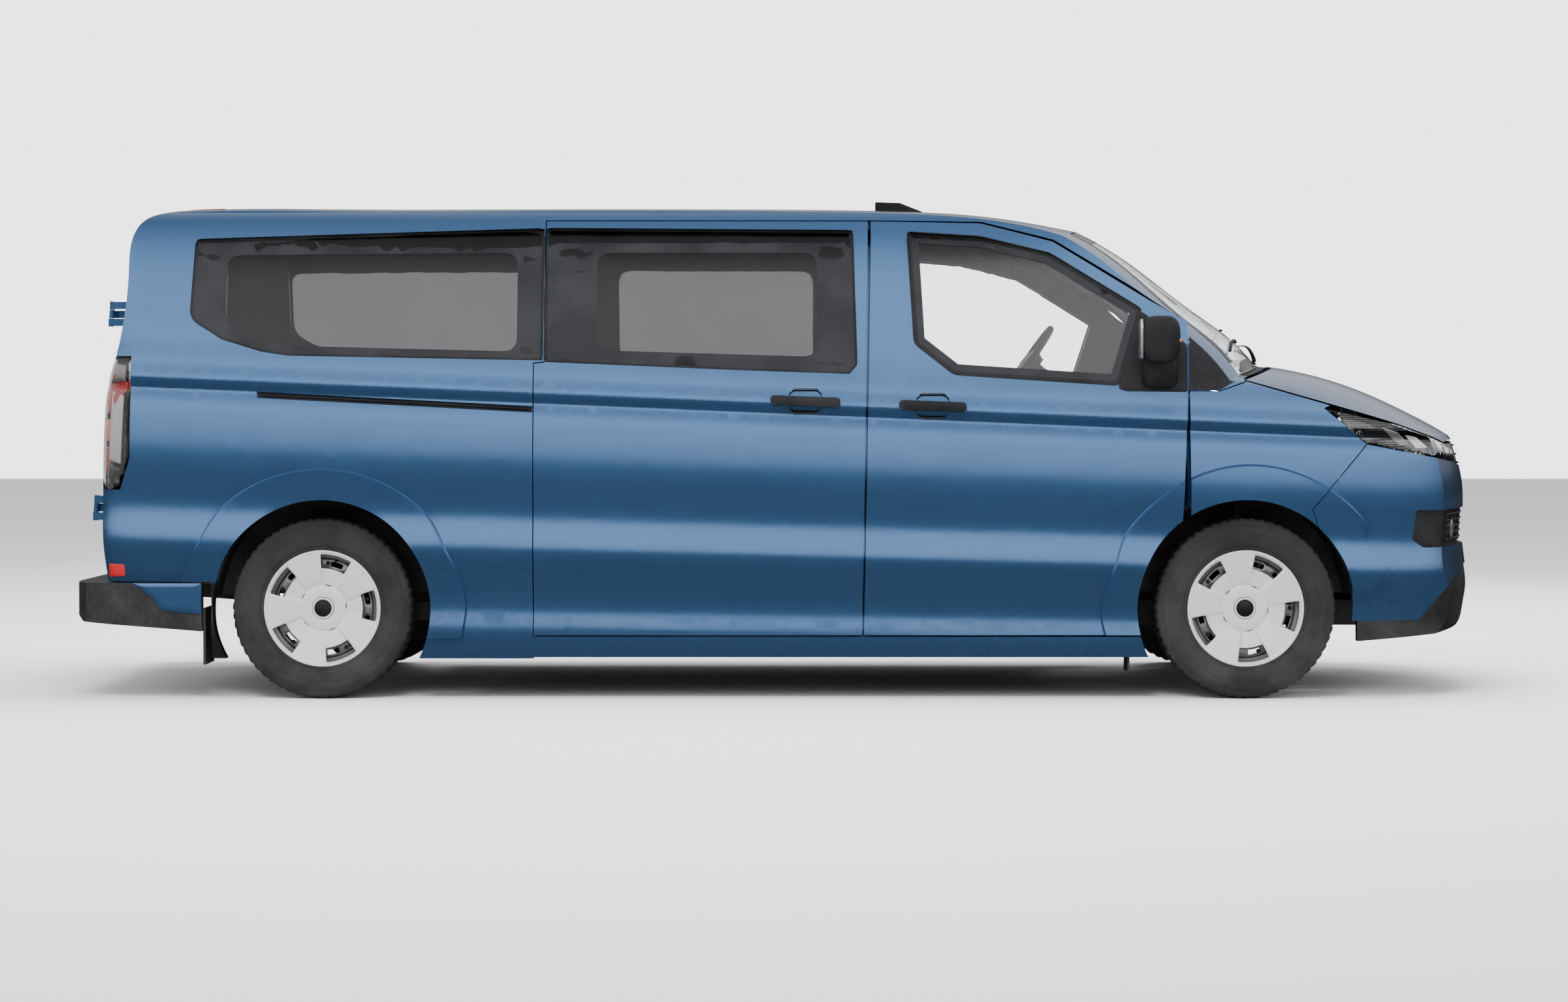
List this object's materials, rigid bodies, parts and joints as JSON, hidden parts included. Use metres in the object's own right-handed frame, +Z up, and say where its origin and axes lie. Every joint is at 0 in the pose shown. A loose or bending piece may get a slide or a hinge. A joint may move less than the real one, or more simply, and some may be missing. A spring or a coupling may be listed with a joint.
{
  "type": "minibus",
  "caption": "Long-wheelbase passenger van with hinged front doors, sliding side doors, twin rear doors, bonnet, seats and steered front wheels.",
  "frame": {"origin": "on the ground under the middle of the bounding box", "axes": "+X forward, +Y to the vehicle's left, +Z up"},
  "size_m": [5.4501, 2.27, 1.9357],
  "materials": {
    "body_paint": "metallic blue, clear coat",
    "window_glass": "tinted, polished",
    "trim_black": "fine grain",
    "tyre_rubber": "matte rubber",
    "wheel_silver": "silver lacquer",
    "lamp_lens": "clear lens",
    "lamp_red": "red and clear lens",
    "seat_cloth": "woven upholstery",
    "cabin_plastic": "moulded dashboard",
    "underbody": "sealed sheet",
    "chassis_steel": "rough forged and cast",
    "exhaust_steel": "dull"
  },
  "bodies": {
    "chassis": {"floor_pan": "underbody", "body_frame": "body_paint", "quarter_panel_right": "body_paint", "quarter_panel_left": "body_paint", "roof_panel": "body_paint", "fender_right": "body_paint", "fender_left": "body_paint", "front_bumper": "body_paint", "front_trim": "trim_black", "headlamps": "lamp_lens", "windscreen": "window_glass", "rear_bumper": "trim_black", "rear_lamps": "lamp_red", "roof_pod": "trim_black", "mudflaps": "trim_black", "side_glass": "window_glass", "sliding_door_right": "body_paint", "sliding_door_left": "body_paint", "dashboard": "cabin_plastic", "front_seats": "seat_cloth", "rear_benches": "seat_cloth", "engine_block": "chassis_steel", "front_subframe": "chassis_steel", "front_struts": "chassis_steel", "rear_axle": "chassis_steel", "fuel_tank": "underbody", "exhaust_pipe": "exhaust_steel"},
    "right_front_door": {"front_door_right": "body_paint", "front_glass_right": "window_glass", "mirror_right": "trim_black"},
    "left_front_door": {"front_door_left": "body_paint", "front_glass_left": "window_glass", "mirror_left": "trim_black"},
    "right_rear_door": {"rear_door_right": "body_paint", "rear_glass_right": "window_glass"},
    "left_rear_door": {"rear_door_left": "body_paint", "rear_glass_left": "window_glass"},
    "bonnet_lid": {"bonnet": "body_paint"},
    "steering": {"steering_wheel": "trim_black"},
    "right_knuckle": {"knuckle_right": "chassis_steel"},
    "left_knuckle": {"knuckle_left": "chassis_steel"},
    "front_right_wheel": {"tyre_front_right": "tyre_rubber", "wheel_front_right": "wheel_silver"},
    "front_left_wheel": {"tyre_front_left": "tyre_rubber", "wheel_front_left": "wheel_silver"},
    "rear_right_wheel": {"tyre_rear_right": "tyre_rubber", "wheel_rear_right": "wheel_silver"},
    "rear_left_wheel": {"tyre_rear_left": "tyre_rubber", "wheel_rear_left": "wheel_silver"}
  },
  "joints": [
    {"name": "right_front_door_hinge", "type": "hinge", "parent": "chassis", "child": "right_front_door", "pos_m": [1.462, -0.94, 0.85], "axis": [0, 0, 1], "range_deg": [0, 68]},
    {"name": "left_front_door_hinge", "type": "hinge", "parent": "chassis", "child": "left_front_door", "pos_m": [1.462, 0.94, 0.85], "axis": [0, 0, -1], "range_deg": [0, 68]},
    {"name": "right_rear_door_hinge", "type": "hinge", "parent": "chassis", "child": "right_rear_door", "pos_m": [-2.641, -0.846, 0.722], "axis": [0.0847, 0, 0.9964], "range_deg": [0, 180]},
    {"name": "left_rear_door_hinge", "type": "hinge", "parent": "chassis", "child": "left_rear_door", "pos_m": [-2.641, 0.846, 0.722], "axis": [-0.0847, 0, -0.9964], "range_deg": [0, 180]},
    {"name": "bonnet_hinge", "type": "hinge", "parent": "chassis", "child": "bonnet_lid", "pos_m": [1.742, 0, 1.206], "axis": [0, -1, 0], "range_deg": [0, 55]},
    {"name": "steering_turn", "type": "hinge", "parent": "chassis", "child": "steering", "pos_m": [1, 0.45, 1.29], "axis": [-0.8192, 0, 0.5736], "range_deg": [-540, 540]},
    {"name": "right_kingpin", "type": "hinge", "parent": "chassis", "child": "right_knuckle", "pos_m": [1.735, -0.775, 0.23], "axis": [0, 0.1747, 0.9846], "range_deg": [-35.1, 35.1]},
    {"name": "left_kingpin", "type": "hinge", "parent": "chassis", "child": "left_knuckle", "pos_m": [1.735, 0.775, 0.23], "axis": [0, -0.1747, 0.9846], "range_deg": [-35.1, 35.1]},
    {"name": "front_right_spin", "type": "hinge", "parent": "right_knuckle", "child": "front_right_wheel", "pos_m": [1.735, -0.865, 0.343], "axis": [0, 1, 0], "continuous": true},
    {"name": "front_left_spin", "type": "hinge", "parent": "left_knuckle", "child": "front_left_wheel", "pos_m": [1.735, 0.865, 0.343], "axis": [0, 1, 0], "continuous": true},
    {"name": "rear_right_spin", "type": "hinge", "parent": "chassis", "child": "rear_right_wheel", "pos_m": [-1.765, -0.865, 0.343], "axis": [0, 1, 0], "continuous": true},
    {"name": "rear_left_spin", "type": "hinge", "parent": "chassis", "child": "rear_left_wheel", "pos_m": [-1.765, 0.865, 0.343], "axis": [0, 1, 0], "continuous": true}
  ],
  "couplings": [
    {"joint": "right_kingpin", "follows": "steering_turn", "ratio": 0.065},
    {"joint": "left_kingpin", "follows": "steering_turn", "ratio": 0.065}
  ]
}
